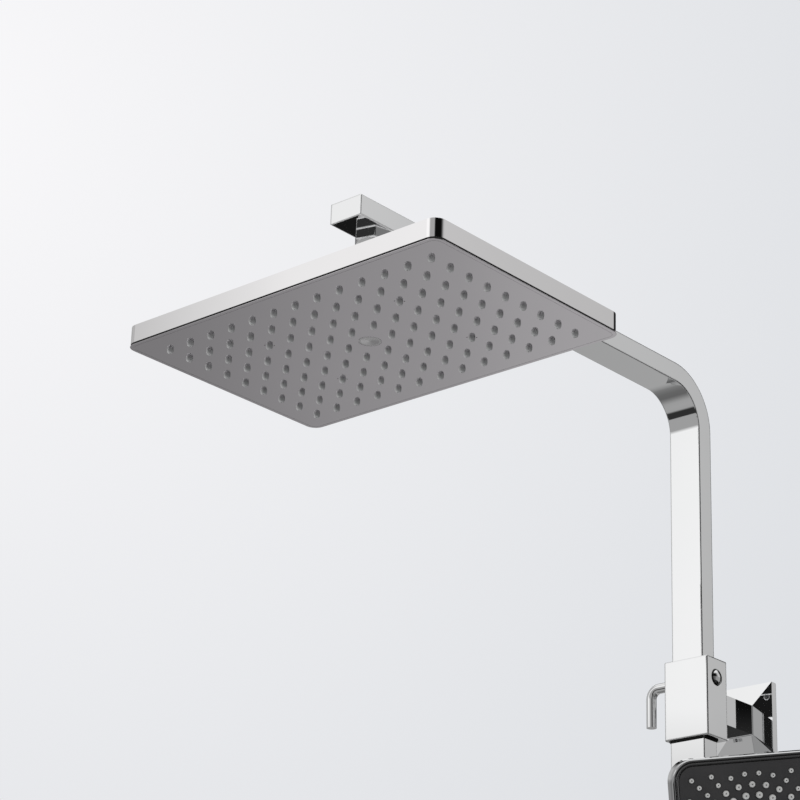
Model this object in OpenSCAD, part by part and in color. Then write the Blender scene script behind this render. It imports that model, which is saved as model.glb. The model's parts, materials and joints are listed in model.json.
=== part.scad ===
// Shower system: rain head on a flat gooseneck riser, diverter block, lower rail and handset.
// Millimetres. X runs along the wall, Y into the wall, Z up.
// The origin is the centre of the upper flange's back face, on the wall.

/* [Wall flanges and necks] */
// Side of a square wall flange
flange_size = 61.5; // [58:0.5:70]
// Thickness of a flange cover at its rim, gasket included
flange_rim = 7; // [6.6:0.1:9]
// Rise of the shallow pyramid on a flange cover
pyramid_rise = 2.2; // [1:0.1:5]
// Side of the square necks
neck_size = 25; // [24.5:0.1:27]
// Radius of the waterway in the upper neck
neck_bore_r = 6; // [5:0.1:7]
// Thickness of a flange gasket
gasket_t = 1; // [0.6:0.1:1.5]
// Thickness of a fixing plate
fixing_plate_t = 3; // [2:0.1:3.5]
// Side of a fixing plate
fixing_plate_size = 52; // [50:0.5:54]
// Distance of a wall screw from the plate's centre lines
wall_screw_offset = 20; // [19.5:0.1:21]
// Length of a wall screw beyond the wall's face
wall_screw_length = 12; // [10:1:60]

/* [Diverter block and lower block] */
// Width of both blocks along the wall
block_width = 43; // [42:0.5:50]
// Depth of both blocks
block_depth = 28; // [27:0.5:34]
// Distance from the wall to the front of both blocks
block_reach = 87; // [84:0.5:110]
// Height of the diverter block's top above the flange centre
block_top = 36.5; // [36.5:0.5:44]
// Depth of the diverter block's underside below the flange centre
block_drop = 30.5; // [30:0.5:40]
// Height of the lower block
lower_block_height = 44; // [40:0.5:60]
// Distance from the upper flange's centre down to the lower flange's centre
flange_spacing = 540; // [480:5:700]
// Depth of the sockets that take the riser and the rail
socket_depth = 8; // [6:0.1:8.2]
// Break along the blocks' edges
block_break = 0.8; // [0.4:0.1:1.2]

/* [Diverter] */
// Height of the spindle above the flange centre
spindle_height = 20; // [19.8:0.1:20.2]
// Radius of the cross bore
cross_bore_r = 6.6; // [6.5:0.1:6.8]
// Radius of the gland nut round the lever
gland_r = 7.2; // [7:0.1:8]
// Radius of the spindle's end cap
end_cap_r = 6.2; // [6:0.05:6.3]
// Stand-off of the end cap from the block
end_cap_proud = 3; // [2:0.1:5]
// Radius of the lever rod
lever_r = 4.2; // [3.8:0.1:4.4]
// Distance of the lever's grip from the block's centre line
lever_reach = 44.5; // [42:0.5:60]
// Radius of the lever's elbow
lever_elbow_r = 8.5; // [6:0.1:9]
// Length of the lever's grip below the spindle
lever_grip = 32.5; // [25:0.5:60]

/* [Riser and arm] */
// Width of the flat riser tube
riser_width = 30.5; // [28:0.5:32]
// Thickness of the flat riser tube
riser_thickness = 17; // [16:0.1:18]
// Wall of the riser tube
riser_wall = 1.5; // [1:0.1:2.5]
// Break along the riser's edges
riser_break = 0.6; // [0.3:0.1:1.2]
// Distance from the wall to the riser's front face
riser_reach = 84.5; // [84:0.1:85]
// Height of the bend's centre above the flange centre
bend_height = 238; // [200:1:320]
// Inner radius of the bend
bend_inner_r = 32.5; // [25:0.5:60]
// Distance from the wall to the arm's tip
arm_reach = 514.3; // [450:1:600]
// Distance from the arm's tip back to the head's centre
tip_to_head = 32; // [24:0.5:50]

/* [Lower rail] */
// Width of the lower rail
rail_width = 33.4; // [32:0.1:36]
// Thickness of the lower rail
rail_thickness = 18; // [17:0.1:20]
// Distance from the wall to the rail's front face
rail_reach = 85.7; // [85:0.1:86]
// Wall of the rail tube
rail_wall = 1.5; // [1:0.1:2.5]

/* [Rain head] */
// Length of the head along the wall
head_length = 307; // [300:1:360]
// Depth of the head from front to back
head_depth = 207; // [202:1:260]
// Corner radius of the head
head_corner_r = 9; // [8:0.5:20]
// Drop from the arm's underside to the face plate's underside
head_drop = 87.7; // [85.5:0.1:100]
// Height of the head's side wall, face plate included
head_side = 16.1; // [15.8:0.1:24]
// Thickness of the face plate
face_plate_t = 1.5; // [1.4:0.1:2.2]
// Wall of the head's shell
head_wall = 2.5; // [2:0.1:3]
// Nozzle columns along the head
nozzle_columns = 13; // [9:2:13]
// Nozzle rows across the head
nozzle_rows = 9; // [5:2:9]
// Distance of the outer nozzle columns from the head's ends
column_margin = 24.6; // [20:0.1:30]
// Distance of the outer nozzle rows from the head's front and back
row_margin = 23.4; // [20:0.1:30]
// Radius of a nozzle at its collar
nozzle_r = 2.6; // [2.5:0.05:3.1]
// Length of a nozzle below the face plate
nozzle_length = 3.3; // [2:0.1:6]
// Radius of the dished cap in the middle of the face plate
centre_cap_r = 8.4; // [7:0.1:9.5]

/* [Ball joint] */
// Drop from the arm's underside to the ball's centre
ball_drop = 15.5; // [15.5:0.1:17]
// Radius of the ball
ball_r = 9; // [8.5:0.1:9.2]
// Radius over the corners of the swivel nut
swivel_nut_r = 16; // [15.5:0.1:18]
// Height of the swivel nut's flats
swivel_flat_h = 8.7; // [7:0.1:9.5]

/* [Slider and holder] */
// Drop from the flange centre to the slider's centre
slider_drop = 291.7; // [200:0.1:420]
// Width of the slider body along the wall
slider_width = 49; // [48:0.5:56]
// Depth of the slider body
slider_depth = 34; // [33.5:0.5:40]
// Height of the slider body
slider_height = 56; // [50:1:70]
// Distance of the handset's axis from the rail's centre line
holder_reach = 72.4; // [72:0.1:90]
// Forward lean of the handset's handle in degrees
holder_lean = 10.8; // [8:0.1:20]
// Turn of the handset in its holder in degrees
handset_turn = 49; // [30:1:60]
// Radius of the holder cup
cup_r = 17; // [16.5:0.1:19]
// Height of the holder cup
cup_height = 36; // [30:1:40]

/* [Handset] */
// Width of the handset head
handset_width = 126; // [124:1:150]
// Height of the handset head
handset_height = 133; // [130:1:150]
// Corner radius of the handset head
handset_corner_r = 17.5; // [12:0.5:25]
// Thickness of the handset head
handset_thickness = 15; // [14:0.5:20]
// Distance from the holder up to the head's centre along the handle
handset_neck_length = 165; // [160:1:190]
// Forward angle of the head to its handle in degrees
handset_face_angle = 10; // [6:0.5:12]
// Width of the handle
handle_width = 25; // [24:0.5:28]
// Depth of the handle
handle_depth = 21; // [20:0.5:24]
// Radius of the handle's cone at its foot
cone_foot_r = 10.6; // [10:0.1:11]
// Radius of the handle's cone at its top
cone_top_r = 12; // [11.5:0.1:12.2]

/* [Hidden] */
$fn = 64;
// threads, sockets and bores
fit = 0.15;
fine_cut = 0.1;
run_gap = 0.3;
thread_r = 10.4;
cut = 1;
gap_to_thread = 0.35;
// wall side
pyramid_front = flange_rim + pyramid_rise;
cover_side = 3.2;
cover_front = 1.5;
spigot_side = neck_size + 7;
spigot_front = flange_rim + 0.2;
neck_end = fixing_plate_t;
grub_y = -spigot_front + 2.2;
neck_grub_l = 3.5;
wall_screw_r = 2.2;
wall_shank_r = 2;
flange_gasket_in = 0.5;
flange_gasket_w = 2;
wall_screw_head_r = 4;
wall_screw_head_t = 2.2;
cover_hole = spigot_side + 1;
neck_hole = neck_size + 2 * fit;
connector_in_r = 9.6;
connector_tail = 13;
connector_depth = 14;
washer_t = 1.5;
// blocks
block_y = -block_reach + block_depth / 2;
block_back = -block_reach + block_depth;
block_height = block_top + block_drop;
riser_y = -riser_reach + riser_thickness / 2;
rail_y = -rail_reach + rail_thickness / 2;
seal_t = 1.5;
riser_foot = block_top - socket_depth + seal_t;
rail_top = -block_drop + socket_depth - seal_t;
lower_z = -flange_spacing;
lower_top = lower_z + lower_block_height / 2;
lower_bottom = lower_z - lower_block_height / 2;
rail_foot = lower_top - socket_depth + seal_t;
waterway_r = 4;
seal_bore_r = waterway_r + 1;
seal_in = 0.5;
lip_t = 1.2;
lip_w = 0.8;
inlet_way_r = neck_bore_r - 1;
rail_port_x = 10;
inlet_port_x = -6;
grub_r = 2;
grub_x = 8;
grub_inset = 3;
grub_sunk = 1.5;
outlet_hex_r = thread_r + 1.8;
outlet_hex_h = 5;
outlet_thread_l = 12;
outlet_length = outlet_hex_h + outlet_thread_l;
hose_washer_t = 1.5;
// diverter
spindle_y = block_y - 0.5;
spool_r = cross_bore_r - run_gap;
spool_left = -15.5;
spool_right = 15;
gland_stub_r = cross_bore_r - gap_to_thread;
gland_proud = 4;
gland_out = -block_width / 2 - gland_proud;
gland_gap = 0.5;
plug_left = 16;
lever_socket = 8;
spool_port_r = 2.4;
ring_x = [-11, 5, 14];
ring_w = 1.4;
ring_side = 0.1;
ring_depth = 0.9;
cap_wall = 1.4;
cap_recess = 2.2;
// riser
riser_mid_r = bend_inner_r + riser_thickness / 2;
bend_y = riser_y - riser_mid_r;
arm_z = bend_height + riser_mid_r;
arm_underside = arm_z - riser_thickness / 2;
// rain head
head_y = -arm_reach + tip_to_head;
head_height = arm_underside - head_drop;
column_pitch = (head_length - 2 * column_margin) / (nozzle_columns - 1);
row_pitch = (head_depth - 2 * row_margin) / (nozzle_rows - 1);
head_top = head_height + head_side;
shell_cone_r = 46;
shell_cone_top_r = 24;
shell_cone_h = 5;
plate_top = head_height + face_plate_t;
rim_gap = 0.4;
shell_inset = 0.3;
gasket_inset = 0.9;
mat_inset = gasket_inset + 8.1;
min_corner_r = 1;
mat_t = 1.5;
gasket_w = 5;
post_r = 12;
post_floor = 3.2;
port_r = 1.3;
port_z = plate_top + post_floor + port_r;
screw_head_r = 4;
screw_head_t = 0.6;
cap_t = 0.9;
boss_r = 17;
boss_foot_r = 21;
boss_flare = 8;
boss_rise = 30;
boss_top = head_top + boss_rise;
boss_socket = 11;
post_bore_r = 6;
lock_nut_r = 18;
lock_nut_t = 3;
flow_washer_t = 2;
cap_lip = 0.6;
cap_floor = 0.3;
centre_screw_r = 2.5;
nozzle_tip_r = 1.9;
nozzle_neck_r = 2.3;
nozzle_bore_r = 0.55;
nozzle_collar = 0.8;
nozzle_feed_r = 1.8;
nozzle_clear = 0.3;
pin_r = 0.5;
pin_depth = 1;
pin_offset = nozzle_r + 0.95;
pin_columns = [-3, 3];
pin_rows = [-2, 2];
pin_angle = 42;
rim_break = 0.9;
groove_inset = 3.4;
groove_w = 0.7;
groove_d = 0.5;
// ball joint
ball_z = arm_underside - ball_drop;
liner_in = ball_r + 0.3;
liner_out = liner_in + 1.5;
cavity_r = liner_out + run_gap;
nut_drop = 6;
nut_wall = 1.8;
nut_neck_r = 13.6;
nut_turn = 15;
nut_thread_z = ball_z + 7;
nut_foot = ball_z - nut_drop;
nut_mouth_r = sqrt(cavity_r * cavity_r - nut_drop * nut_drop);
seat_low = 2.6;
seat_high = 6.2;
liner_low = -5.4;
stem_r = 4.5;
stem_hex_r = 12.7;
stem_hex_h = 6;
stem_hex_z = boss_top + 0.5;
stem_bore_r = 3;
stem_thread = 9;
nipple_foot = ball_z + ball_r - 0.5;
nipple_bore_r = 7;
nipple_flange_r = 12.2;
nipple_flange_t = 2;
arm_floor = arm_underside + riser_wall;
// slider
slider_z = -slider_drop;
bush_t = 1.2;
bush_inset = 0.6;
bush_out_w = rail_width + 2 * run_gap + 2 * bush_t;
bush_out_d = rail_thickness + 2 * run_gap + 2 * bush_t;
knob_r = 14;
knob_in = slider_width / 2 + 0.4;
knob_length = 20;
knob_stem_r = 4;
knob_end = -knob_in - knob_length;
flute_r = 1.5;
flute_out = 0.6;
flute_end = 4;
flute_root = 3;
barrel_r = 14;
barrel_length = 9.5;
barrel_end = slider_width / 2 + barrel_length;
holder_arm_r = barrel_r - 0.6;
friction_t = 1.2;
arm_in = barrel_end + friction_t;
pivot_screw_r = 3;
pivot_bite = 6;
pivot_head_r = 5.5;
pivot_head_t = 3;
pivot_shank = 19;
pivot_head_x = arm_in + pivot_shank;
pad_t = 2;
pad_clear = 0.1;
pad_travel = 0.4;
pad_h = 16;
pad_w = 10;
pad_inner = rail_width / 2 + pad_clear;
pad_outer = pad_inner + pad_t;
// handset, in its own frame on the handle's axis
cone_drop = 24;
connector_r = 6.8;
cone_rise = 20;
insert_t = 1.2;
insert_gap = 0.3;
insert_lip_r = cup_r - 1.5;
insert_lip_t = 1.7;
handle_r = 6;
seam = 0.3;
face_lead = 0.5;
head_offset = handle_depth / 2 + face_lead + handset_height / 2 * sin(handset_face_angle)
    - handset_thickness / 2 * cos(handset_face_angle);
ramp_reach = 47;
ramp_foot = handset_neck_length - ramp_reach;
ramp_angle = 21;
handle_bore_r = 6;
spigot_r = 8;
spigot_depth = 22;
oring_drop = 8;
oring_w = 2;
oring_depth = 1;
connector_thread = 13;
connector_plug = 10;
connector_bore_r = 5;
filter_t = 1.5;
filter_bore_r = 4;
slot_w = 16;
trim_t = 6;
shell_t = handset_thickness - trim_t;
shell_side = 6;
shell_floor = 2.5;
way_reach = 12;
trim_w = 5.5;
trim_step = 1.5;
face_t = 2;
face_recess = 0.8;
hs_mat_t = 1.2;
hs_mat_in = 2.5;
spot_sunk = 0.3;
hs_nozzle_out = 1.5;
hs_bore_r = 0.6;
spot_gap = 0.2;
spot_break = 0.5;
ring_radii = [52.4, 43.9, 35.8, 28, 20.2];
ring_counts = [29, 25, 21, 17, 13];
ring_phase = [5.9, 0, 9, 0, 0];
ring_spot_r = [1.9, 2.4, 2.7, 2.4, 1.9];
corner_r_in = 60.9;
corner_r_out = 69.1;
corner_step = 12;
corner_spot_r = 1.9;
corner_turn = atan(handset_height / handset_width);
button_w = 13;
button_h = 20;
button_z = 84;
button_proud = 1.8;
button_travel = 1.2;
button_t = 3;

// Shared shapes

module rod_x(r, x0, x1) {
    translate([x0, 0, 0]) rotate([0, 90, 0]) cylinder(r = r, h = x1 - x0);
}

module rod_y(r, y0, y1) {
    translate([0, y0, 0]) rotate([-90, 0, 0]) cylinder(r = r, h = y1 - y0);
}

module slab(w, d, h) {
    translate([-w / 2, -d / 2, 0]) cube([w, d, h]);
}

module rounded_slab(w, d, h, r) {
    slab(w - 2 * r, d, h);
    slab(w, d - 2 * r, h);
    for (sx = [-1, 1])
        for (sy = [-1, 1])
            translate([sx * (w / 2 - r), sy * (d / 2 - r), 0]) cylinder(r = r, h = h);
}

// A flat plate standing on the wall, its back at y0 and its front at y1.
module wall_slab(w, h, y0, y1) {
    translate([-w / 2, y1, -h / 2]) cube([w, y0 - y1, h]);
}

module cut_corners(w, d, c) {
    polygon([[-w / 2 + c, -d / 2], [w / 2 - c, -d / 2], [w / 2, -d / 2 + c], [w / 2, d / 2 - c],
        [w / 2 - c, d / 2], [-w / 2 + c, d / 2], [-w / 2, d / 2 - c], [-w / 2, -d / 2 + c]]);
}

// A box on its centre with every edge broken.
module broken_box(w, d, h, c) {
    intersection() {
        translate([0, 0, -h / 2]) linear_extrude(h) cut_corners(w, d, c);
        rotate([90, 0, 0]) translate([0, 0, -d / 2]) linear_extrude(d) cut_corners(w, h, c);
        rotate([90, 0, 90]) translate([0, 0, -w / 2]) linear_extrude(w) cut_corners(d, h, c);
    }
}

// Wall side

// The cover's section: a rim, then shallow slopes up to a narrow flat round the neck.
module flange_outline() {
    half = flange_size / 2;
    flat = neck_hole / 2 + 0.6;
    polygon([[-half, -gasket_t], [-half, -flange_rim], [-flat, -pyramid_front], [flat, -pyramid_front],
        [half, -flange_rim], [half, -gasket_t]]);
}

module flange_prism() {
    translate([0, 0, -flange_size / 2]) linear_extrude(flange_size) flange_outline();
}

module flange_cover(z) {
    inner = flange_size - 2 * cover_side;
    translate([0, 0, z]) difference() {
        intersection() {
            flange_prism();
            rotate([0, 90, 0]) flange_prism();
        }
        wall_slab(inner, inner, cut, -flange_rim + cover_front);
        wall_slab(cover_hole, cover_hole, cut, -spigot_front - run_gap);
        wall_slab(neck_hole, neck_hole, cut, -pyramid_front - cut);
        translate([0, grub_y, -flange_size / 2 - cut]) cylinder(r = grub_r + run_gap, h = flange_size / 2);
    }
}

module flange_gasket(z) {
    outer = flange_size - 2 * flange_gasket_in;
    inner = outer - 2 * flange_gasket_w;
    translate([0, 0, z]) difference() {
        wall_slab(outer, outer, 0, -gasket_t);
        wall_slab(inner, inner, cut, -gasket_t - cut);
    }
}

module at_wall_screws() {
    for (sx = [-1, 1])
        for (sz = [-1, 1])
            translate([sx * wall_screw_offset, 0, sz * wall_screw_offset]) children();
}

module wall_plate(z) {
    translate([0, 0, z]) difference() {
        union() {
            wall_slab(fixing_plate_size, fixing_plate_size, 0, -fixing_plate_t);
            wall_slab(spigot_side, spigot_side, -fixing_plate_t, -spigot_front);
        }
        wall_slab(neck_hole, neck_hole, -fixing_plate_t, -spigot_front - cut);
        rod_y(thread_r + gap_to_thread, -fixing_plate_t - cut, cut);
        at_wall_screws() rod_y(wall_screw_r + run_gap, -fixing_plate_t - cut, cut);
        translate([0, grub_y, -spigot_side / 2 - cut])
            cylinder(r = grub_r + fit, h = (spigot_side - neck_hole) / 2 + 2 * cut);
    }
}

module wall_screws(z) {
    translate([0, 0, z]) at_wall_screws() {
        rod_y(wall_shank_r, -fixing_plate_t - cut, cut);
        rod_y(wall_screw_r, 0, wall_screw_length);
        rod_y(wall_screw_head_r, -fixing_plate_t - wall_screw_head_t, -fixing_plate_t);
    }
}

module upper_flange_cover() {
    color("silver") flange_cover(0);
}

module lower_flange_cover() {
    color("silver") flange_cover(lower_z);
}

module upper_flange_gasket() {
    color("dimgray") flange_gasket(0);
}

module lower_flange_gasket() {
    color("dimgray") flange_gasket(lower_z);
}

module upper_wall_plate() {
    color("gray") wall_plate(0);
}

module lower_wall_plate() {
    color("gray") wall_plate(lower_z);
}

module upper_wall_screws() {
    color("darkgray") wall_screws(0);
}

module lower_wall_screws() {
    color("darkgray") wall_screws(lower_z);
}

module inlet_neck() {
    color("silver") difference() {
        wall_slab(neck_size, neck_size, -neck_end, block_back);
        rod_y(neck_bore_r, block_back - cut, cut);
        rod_y(connector_in_r + gap_to_thread, -neck_end - connector_depth - washer_t, cut);
    }
}

module inlet_connector() {
    color("goldenrod") difference() {
        union() {
            rod_y(connector_in_r, -neck_end - connector_depth, cut);
            rod_y(thread_r, 0, connector_tail);
        }
        rod_y(neck_bore_r, -neck_end - connector_depth - cut, connector_tail + cut);
    }
}

module inlet_seal() {
    color("black") difference() {
        rod_y(connector_in_r, -neck_end - connector_depth - washer_t, -neck_end - connector_depth);
        rod_y(neck_bore_r, -neck_end - connector_depth - washer_t - cut, -neck_end - connector_depth + cut);
    }
}

module lower_neck() {
    color("silver") translate([0, 0, lower_z]) wall_slab(neck_size, neck_size, -neck_end, block_back);
}

module neck_grub_screws() {
    color("darkgray") for (z = [0, lower_z])
        translate([0, grub_y, z - neck_size / 2 - neck_grub_l]) cylinder(r = grub_r, h = neck_grub_l);
}

// Diverter block

module socket(w, d, y, z, h) {
    translate([0, y, z]) slab(w + 2 * fit, d + 2 * fit, h);
}

module grub_holes(z) {
    for (sx = [-1, 1])
        translate([sx * grub_x, 0, z]) rod_y(grub_r + fit, rail_y, block_back + cut);
}

module at_spindle() {
    translate([0, spindle_y, spindle_height]) children();
}

module diverter_body() {
    color("silver") difference() {
        translate([0, block_y, (block_top - block_drop) / 2])
            broken_box(block_width, block_depth, block_height, block_break);
        socket(riser_width, riser_thickness, riser_y, block_top - socket_depth, socket_depth + cut);
        socket(rail_width, rail_thickness, rail_y, -block_drop - cut, socket_depth + cut);
        at_spindle() rod_x(cross_bore_r, -block_width / 2 - cut, block_width / 2 + cut);
        at_spindle() cylinder(r = waterway_r, h = block_top - spindle_height);
        translate([inlet_port_x, spindle_y, 0]) cylinder(r = waterway_r, h = spindle_height);
        translate([rail_port_x, spindle_y, -block_drop])
            cylinder(r = waterway_r, h = block_drop + spindle_height);
        rod_y(inlet_way_r, spindle_y, block_back + cut);
        grub_holes(block_top - grub_inset);
        grub_holes(-block_drop + grub_inset);
    }
}

module lever_gland() {
    color("silver") at_spindle() difference() {
        union() {
            rod_x(gland_r, gland_out, -block_width / 2);
            rod_x(gland_stub_r, -block_width / 2, spool_left - gland_gap);
        }
        rod_x(lever_r + run_gap, gland_out - cut, 0);
    }
}

module spindle_end_cap() {
    cap_front = block_width / 2 + end_cap_proud;
    color("silver") at_spindle() difference() {
        union() {
            rod_x(cross_bore_r - fit, plug_left, block_width / 2 - cap_wall);
            rod_x(end_cap_r, plug_left, cap_front);
        }
        rod_x(end_cap_r - cap_wall, cap_front - cap_recess, cap_front + cut);
    }
}

module lever() {
    grip_x = -lever_reach;
    color("silver") at_spindle() {
        rod_x(lever_r, grip_x + lever_elbow_r, spool_left + lever_socket);
        translate([grip_x + lever_elbow_r, 0, -lever_elbow_r]) rotate([90, 0, 0])
            rotate([0, 0, 90]) rotate_extrude(angle = 90) translate([lever_elbow_r, 0]) circle(r = lever_r);
        translate([grip_x, 0, -lever_grip]) cylinder(r = lever_r, h = lever_grip - lever_elbow_r);
    }
}

module diverter_spool() {
    color("gainsboro") at_spindle() difference() {
        rod_x(spool_r, spool_left, spool_right);
        rod_x(lever_r + fit, spool_left - cut, spool_left + lever_socket);
        rod_x(spool_port_r, inlet_port_x, rail_port_x + spool_port_r);
        for (x = [inlet_port_x, rail_port_x])
            translate([x, 0, -spool_r - cut]) cylinder(r = spool_port_r, h = spool_r + cut);
        rod_y(spool_port_r, -spool_r - cut, 0);
        for (x = ring_x)
            translate([x, 0, 0]) difference() {
                rod_x(spool_r + cut, -ring_w / 2 - ring_side, ring_w / 2 + ring_side);
                rod_x(spool_r - ring_depth, -ring_w, ring_w);
            }
    }
}

module spool_o_rings() {
    color("black") at_spindle() for (x = ring_x)
        translate([x, 0, 0]) difference() {
            rod_x(cross_bore_r - fit, -ring_w / 2, ring_w / 2);
            rod_x(spool_r - ring_depth, -ring_w, ring_w);
        }
}

// Riser and arm

module riser_run(w, t, c, foot, tip) {
    translate([0, riser_y, foot]) linear_extrude(bend_height - foot) cut_corners(w, t, c);
    translate([0, bend_y, bend_height]) rotate([90, 0, 90])
        rotate_extrude(angle = 90) translate([riser_mid_r, 0]) cut_corners(t, w, c);
    translate([0, bend_y, arm_z]) rotate([90, 0, 0])
        linear_extrude(arm_reach + bend_y - tip) cut_corners(w, t, c);
}

module riser_arm() {
    color("silver") difference() {
        riser_run(riser_width, riser_thickness, riser_break, riser_foot, 0);
        riser_run(riser_width - 2 * riser_wall, riser_thickness - 2 * riser_wall, riser_break,
            riser_foot - cut, riser_wall);
        translate([0, head_y, arm_underside - cut]) cylinder(r = thread_r + fit, h = riser_wall + 2 * cut);
    }
}

module seal_ring(w, d, x, r) {
    difference() {
        slab(w - 2 * seal_in, d - 2 * seal_in, seal_t);
        translate([x, 0, -cut]) cylinder(r = r, h = seal_t + 2 * cut);
    }
}

module riser_seal() {
    color("black") translate([0, riser_y, block_top - socket_depth])
        seal_ring(riser_width, riser_thickness, 0, seal_bore_r);
}

module grub_pair(z, face_y) {
    for (sx = [-1, 1])
        translate([sx * grub_x, 0, z]) rod_y(grub_r, face_y, block_back - grub_sunk);
}

module riser_grub_screws() {
    color("darkgray") grub_pair(block_top - grub_inset, -riser_reach + riser_thickness);
}

module rail_grub_screws() {
    color("darkgray") {
        grub_pair(-block_drop + grub_inset, -rail_reach + rail_thickness);
        grub_pair(lower_top - grub_inset, -rail_reach + rail_thickness);
    }
}

module lower_rail() {
    color("silver") translate([0, rail_y, rail_foot]) difference() {
        linear_extrude(rail_top - rail_foot) cut_corners(rail_width, rail_thickness, riser_break);
        translate([0, 0, -cut]) linear_extrude(rail_top - rail_foot + 2 * cut)
            cut_corners(rail_width - 2 * rail_wall, rail_thickness - 2 * rail_wall, riser_break);
    }
}

// A lip that closes the joint between a block and the rail.
module rail_lip(z) {
    translate([0, rail_y, z]) difference() {
        slab(rail_width + 2 * lip_w, rail_thickness + 2 * lip_w, lip_t);
        translate([0, 0, -cut]) slab(rail_width, rail_thickness, lip_t + 2 * cut);
    }
}

module rail_seals() {
    color("black") {
        translate([0, rail_y, rail_top]) seal_ring(rail_width, rail_thickness, rail_port_x, seal_bore_r);
        translate([0, rail_y, lower_top - socket_depth])
            seal_ring(rail_width, rail_thickness, 0, seal_bore_r);
        rail_lip(-block_drop - lip_t);
        rail_lip(lower_top);
    }
}

module lower_block() {
    color("silver") difference() {
        translate([0, block_y, lower_z])
            broken_box(block_width, block_depth, lower_block_height, block_break);
        socket(rail_width, rail_thickness, rail_y, lower_top - socket_depth, socket_depth + cut);
        translate([0, rail_y, lower_bottom - cut]) cylinder(r = waterway_r, h = lower_block_height);
        grub_holes(lower_top - grub_inset);
    }
}

module hose_outlet() {
    color("silver") translate([0, rail_y, lower_bottom]) difference() {
        union() {
            translate([0, 0, -outlet_hex_h]) cylinder(r = outlet_hex_r, h = outlet_hex_h, $fn = 6);
            translate([0, 0, -outlet_length]) cylinder(r = thread_r, h = outlet_length - outlet_hex_h);
        }
        translate([0, 0, -outlet_length - cut]) cylinder(r = neck_bore_r, h = outlet_length + 2 * cut);
    }
}

module hose_outlet_seal() {
    color("black") translate([0, rail_y, lower_bottom - outlet_length - hose_washer_t]) difference() {
        cylinder(r = thread_r - 1, h = hose_washer_t);
        translate([0, 0, -cut]) cylinder(r = neck_bore_r, h = hose_washer_t + 2 * cut);
    }
}

// Ball joint

module arm_nipple() {
    color("goldenrod") translate([0, head_y, 0]) difference() {
        union() {
            translate([0, 0, nipple_foot]) cylinder(r = thread_r, h = arm_floor + cut - nipple_foot);
            translate([0, 0, arm_floor]) cylinder(r = nipple_flange_r, h = nipple_flange_t);
        }
        translate([0, 0, nipple_foot - cut])
            cylinder(r = nipple_bore_r, h = arm_floor + nipple_flange_t - nipple_foot + 2 * cut);
    }
}

module swivel_nut() {
    color("silver") translate([0, head_y, 0]) difference() {
        union() {
            translate([0, 0, arm_underside - swivel_flat_h])
                rotate([0, 0, nut_turn]) cylinder(r = swivel_nut_r, h = swivel_flat_h, $fn = 6);
            translate([0, 0, nut_foot]) cylinder(r1 = nut_mouth_r + nut_wall, r2 = nut_neck_r,
                h = arm_underside - swivel_flat_h - nut_foot);
        }
        translate([0, 0, ball_z]) sphere(r = cavity_r);
        translate([0, 0, nut_thread_z])
            cylinder(r = thread_r + gap_to_thread, h = arm_underside - nut_thread_z + cut);
    }
}

// A band of the shell that lines the socket, between two heights over the ball's centre.
module socket_band(low, high) {
    side = 3 * liner_out;
    difference() {
        sphere(r = liner_out);
        sphere(r = liner_in);
        translate([0, 0, high]) slab(side, side, side);
        translate([0, 0, low - side]) slab(side, side, side);
    }
}

module ball_seat() {
    color("dimgray") translate([0, head_y, ball_z]) socket_band(seat_low, seat_high);
}

module ball_liner() {
    color("white") translate([0, head_y, ball_z]) socket_band(liner_low, 0);
}

module ball_stem() {
    color("silver") translate([0, head_y, 0]) difference() {
        union() {
            translate([0, 0, ball_z]) sphere(r = ball_r);
            translate([0, 0, stem_hex_z]) cylinder(r = stem_r, h = ball_z - stem_hex_z);
            translate([0, 0, stem_hex_z]) cylinder(r = stem_hex_r, h = stem_hex_h, $fn = 6);
            translate([0, 0, boss_top - stem_thread])
                cylinder(r = thread_r, h = stem_hex_z - boss_top + stem_thread);
        }
        translate([0, 0, boss_top - stem_thread - cut])
            cylinder(r = stem_bore_r, h = ball_z + ball_r - boss_top + stem_thread + 2 * cut);
    }
}

// Rain head

module head_inlet_boss() {
    foot = head_top + shell_cone_h;
    color("silver") translate([0, head_y, 0]) difference() {
        union() {
            translate([0, 0, foot]) cylinder(r1 = boss_foot_r, r2 = boss_r, h = boss_flare);
            translate([0, 0, foot + boss_flare - cut])
                cylinder(r = boss_r, h = boss_top - foot - boss_flare + cut);
            translate([0, 0, plate_top]) cylinder(r = post_r, h = foot + cut - plate_top);
        }
        translate([0, 0, boss_top - boss_socket])
            cylinder(r = thread_r + gap_to_thread, h = boss_socket + cut);
        translate([0, 0, plate_top + post_floor]) cylinder(r = post_bore_r, h = boss_top - plate_top);
        translate([0, 0, plate_top - cut]) cylinder(r = centre_screw_r + fit, h = post_floor + 2 * cut);
        for (a = [45 : 90 : 315])
            translate([0, 0, port_z]) rotate([0, 0, a]) rod_x(port_r, 0, post_r + cut);
    }
}

module boss_lock_nut() {
    color("goldenrod") translate([0, head_y, head_top - head_wall - lock_nut_t]) difference() {
        cylinder(r = lock_nut_r, h = lock_nut_t, $fn = 6);
        translate([0, 0, -cut]) cylinder(r = post_r + gap_to_thread, h = lock_nut_t + 2 * cut);
    }
}

module flow_washer() {
    color("black") translate([0, head_y, boss_top - boss_socket]) difference() {
        cylinder(r = thread_r, h = flow_washer_t);
        translate([0, 0, -cut]) cylinder(r = stem_bore_r, h = flow_washer_t + 2 * cut);
    }
}

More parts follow.
